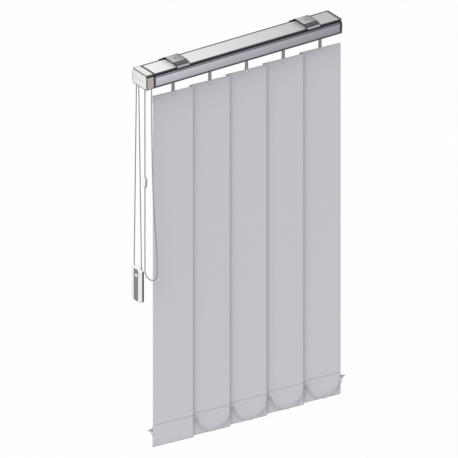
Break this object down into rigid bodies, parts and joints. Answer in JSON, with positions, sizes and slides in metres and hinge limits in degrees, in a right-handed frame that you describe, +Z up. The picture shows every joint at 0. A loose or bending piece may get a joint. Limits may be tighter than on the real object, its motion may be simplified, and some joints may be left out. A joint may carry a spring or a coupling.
{
  "type": "vertical blind",
  "caption": "Vertical blind with fabric slats on a ceiling headrail, worked by a tilt chain and a weighted traverse cord.",
  "frame": {"origin": "on the ceiling plane, midway between the two ceiling screw holes of the clips", "axes": "+X along the rail away from the controls, -Y towards the room, +Z up"},
  "size_m": [0.4694, 0.0576, 0.8035],
  "materials": {
    "rail": "satin white coating",
    "clip": "satin grey coating",
    "cap": "fine satin",
    "rod": "drawn",
    "gear": "moulded",
    "pin": "ground",
    "cord": "braided",
    "chain": "beaded",
    "clear": "gloss",
    "case": "satin",
    "link": "rolled strip",
    "stem": "moulded",
    "insert": "moulded",
    "slat": "woven"
  },
  "bodies": {
    "headrail": {"headrail": "rail", "control_end_cap": "cap", "return_end_cap": "cap", "ceiling_clip_left": "clip", "ceiling_clip_right": "clip", "carrier_1": "gear", "spacer_link_1": "link", "guide_pulley_pin": "pin", "traverse_cord_in_rail": "cord", "traverse_cord_loop": "cord", "tilt_chain": "chain", "cord_weight_shell_left": "case", "cord_weight_shell_right": "case"},
    "tilt_rod": {"tilt_rod": "rod", "chain_sprocket": "gear"},
    "vane_1": {"stem_1": "stem", "hanger_1": "insert", "slat_1": "slat", "weight_1": "insert"},
    "carrier_2": {"carrier_2": "gear", "spacer_link_2": "link"},
    "vane_2": {"stem_2": "stem", "hanger_2": "insert", "slat_2": "slat", "weight_2": "insert"},
    "carrier_3": {"carrier_3": "gear", "spacer_link_3": "link"},
    "vane_3": {"stem_3": "stem", "hanger_3": "insert", "slat_3": "slat", "weight_3": "insert"},
    "carrier_4": {"carrier_4": "gear", "spacer_link_4": "link"},
    "vane_4": {"stem_4": "stem", "hanger_4": "insert", "slat_4": "slat", "weight_4": "insert"},
    "carrier_5": {"carrier_5": "gear"},
    "vane_5": {"stem_5": "stem", "hanger_5": "insert", "slat_5": "slat", "weight_5": "insert"},
    "front_chain_1": {"front_chain_1": "chain"},
    "rear_chain_1": {"rear_chain_1": "chain"},
    "front_chain_2": {"front_chain_2": "chain"},
    "rear_chain_2": {"rear_chain_2": "chain"},
    "front_chain_3": {"front_chain_3": "chain"},
    "rear_chain_3": {"rear_chain_3": "chain"},
    "front_chain_4": {"front_chain_4": "chain"},
    "rear_chain_4": {"rear_chain_4": "chain"},
    "chain_connector": {"chain_connector": "clear"},
    "guide_pulley_near": {"guide_pulley_near": "gear"},
    "guide_pulley_far": {"guide_pulley_far": "gear"},
    "return_pulley": {"return_pulley": "gear"},
    "cord_weight_pulley": {"cord_weight_pulley": "gear"}
  },
  "joints": [
    {"name": "tilt", "type": "hinge", "parent": "headrail", "child": "vane_1", "pos_m": [-0.1555, 0, -0.0675], "axis": [0, 0, -1], "range_deg": [0, 171]},
    {"name": "traverse", "type": "slide", "parent": "headrail", "child": "carrier_5", "axis": [-1, 0, 0], "range_m": [0, 0.2156], "deforming": ["front_chain_1", "rear_chain_1", "front_chain_2", "rear_chain_2", "front_chain_3", "rear_chain_3", "front_chain_4", "rear_chain_4"]},
    {"name": "carrier_2_slide", "type": "slide", "parent": "headrail", "child": "carrier_2", "axis": [-1, 0, 0], "range_m": [0, 0.0539]},
    {"name": "carrier_3_slide", "type": "slide", "parent": "headrail", "child": "carrier_3", "axis": [-1, 0, 0], "range_m": [0, 0.1078]},
    {"name": "carrier_4_slide", "type": "slide", "parent": "headrail", "child": "carrier_4", "axis": [-1, 0, 0], "range_m": [0, 0.1617]},
    {"name": "tilt_2", "type": "hinge", "parent": "carrier_2", "child": "vane_2", "pos_m": [-0.071, 0, -0.0675], "axis": [0, 0, -1], "range_deg": [0, 171]},
    {"name": "tilt_3", "type": "hinge", "parent": "carrier_3", "child": "vane_3", "pos_m": [0.0135, 0, -0.0675], "axis": [0, 0, -1], "range_deg": [0, 171]},
    {"name": "tilt_4", "type": "hinge", "parent": "carrier_4", "child": "vane_4", "pos_m": [0.098, 0, -0.0675], "axis": [0, 0, -1], "range_deg": [0, 171]},
    {"name": "tilt_5", "type": "hinge", "parent": "carrier_5", "child": "vane_5", "pos_m": [0.1825, 0, -0.0675], "axis": [0, 0, -1], "range_deg": [0, 171]},
    {"name": "rod_spin", "type": "hinge", "parent": "headrail", "child": "tilt_rod", "pos_m": [-0.2182, -0.008, -0.023], "axis": [1, 0, 0], "range_deg": [0, 855]},
    {"name": "connector_slide", "type": "slide", "parent": "headrail", "child": "chain_connector", "axis": [0, 0, 1], "range_m": [0, 0.1635]},
    {"name": "front_chain_1_swivel", "type": "hinge", "parent": "vane_1", "child": "front_chain_1", "pos_m": [-0.10565, -0.00392, -0.7675], "axis": [0, 0, -1], "range_deg": [-171, 0]},
    {"name": "rear_chain_1_swivel", "type": "hinge", "parent": "vane_1", "child": "rear_chain_1", "pos_m": [-0.20535, 0.00392, -0.7675], "axis": [0, 0, -1], "range_deg": [-171, 0]},
    {"name": "front_chain_2_swivel", "type": "hinge", "parent": "vane_2", "child": "front_chain_2", "pos_m": [-0.02115, -0.00392, -0.7675], "axis": [0, 0, -1], "range_deg": [-171, 0]},
    {"name": "rear_chain_2_swivel", "type": "hinge", "parent": "vane_2", "child": "rear_chain_2", "pos_m": [-0.12085, 0.00392, -0.7675], "axis": [0, 0, -1], "range_deg": [-171, 0]},
    {"name": "front_chain_3_swivel", "type": "hinge", "parent": "vane_3", "child": "front_chain_3", "pos_m": [0.06335, -0.00392, -0.7675], "axis": [0, 0, -1], "range_deg": [-171, 0]},
    {"name": "rear_chain_3_swivel", "type": "hinge", "parent": "vane_3", "child": "rear_chain_3", "pos_m": [-0.03635, 0.00392, -0.7675], "axis": [0, 0, -1], "range_deg": [-171, 0]},
    {"name": "front_chain_4_swivel", "type": "hinge", "parent": "vane_4", "child": "front_chain_4", "pos_m": [0.14785, -0.00392, -0.7675], "axis": [0, 0, -1], "range_deg": [-171, 0]},
    {"name": "rear_chain_4_swivel", "type": "hinge", "parent": "vane_4", "child": "rear_chain_4", "pos_m": [0.04815, 0.00392, -0.7675], "axis": [0, 0, -1], "range_deg": [-171, 0]},
    {"name": "guide_near_spin", "type": "hinge", "parent": "headrail", "child": "guide_pulley_near", "pos_m": [-0.2218, 0.011, -0.0235], "axis": [0, 1, 0], "range_deg": [-2470.6, 0]},
    {"name": "guide_far_spin", "type": "hinge", "parent": "headrail", "child": "guide_pulley_far", "pos_m": [-0.2218, 0.019, -0.0235], "axis": [0, 1, 0], "range_deg": [0, 2470.6]},
    {"name": "return_spin", "type": "hinge", "parent": "headrail", "child": "return_pulley", "pos_m": [0.2083, 0.015, -0.0185], "axis": [0, 0, 1], "range_deg": [-3088.3, 0]},
    {"name": "weight_pulley_spin", "type": "hinge", "parent": "headrail", "child": "cord_weight_pulley", "pos_m": [-0.2268, 0.0142, -0.439], "axis": [1, 0, 0], "range_deg": [0, 1029.5]}
  ],
  "couplings": [
    {"joint": "carrier_2_slide", "follows": "traverse", "ratio": 0.25},
    {"joint": "carrier_3_slide", "follows": "traverse", "ratio": 0.5},
    {"joint": "carrier_4_slide", "follows": "traverse", "ratio": 0.75},
    {"joint": "tilt_2", "follows": "tilt", "ratio": 1},
    {"joint": "tilt_3", "follows": "tilt", "ratio": 1},
    {"joint": "tilt_4", "follows": "tilt", "ratio": 1},
    {"joint": "tilt_5", "follows": "tilt", "ratio": 1},
    {"joint": "rod_spin", "follows": "tilt", "ratio": 5},
    {"joint": "connector_slide", "follows": "tilt", "m_per_rad": 0.054749},
    {"joint": "front_chain_1_swivel", "follows": "tilt", "ratio": -1},
    {"joint": "rear_chain_1_swivel", "follows": "tilt", "ratio": -1},
    {"joint": "front_chain_2_swivel", "follows": "tilt", "ratio": -1},
    {"joint": "rear_chain_2_swivel", "follows": "tilt", "ratio": -1},
    {"joint": "front_chain_3_swivel", "follows": "tilt", "ratio": -1},
    {"joint": "rear_chain_3_swivel", "follows": "tilt", "ratio": -1},
    {"joint": "front_chain_4_swivel", "follows": "tilt", "ratio": -1},
    {"joint": "rear_chain_4_swivel", "follows": "tilt", "ratio": -1},
    {"joint": "guide_near_spin", "follows": "traverse", "rad_per_m": -200},
    {"joint": "guide_far_spin", "follows": "traverse", "rad_per_m": 200},
    {"joint": "return_spin", "follows": "traverse", "rad_per_m": -250},
    {"joint": "weight_pulley_spin", "follows": "traverse", "rad_per_m": 83.333}
  ]
}
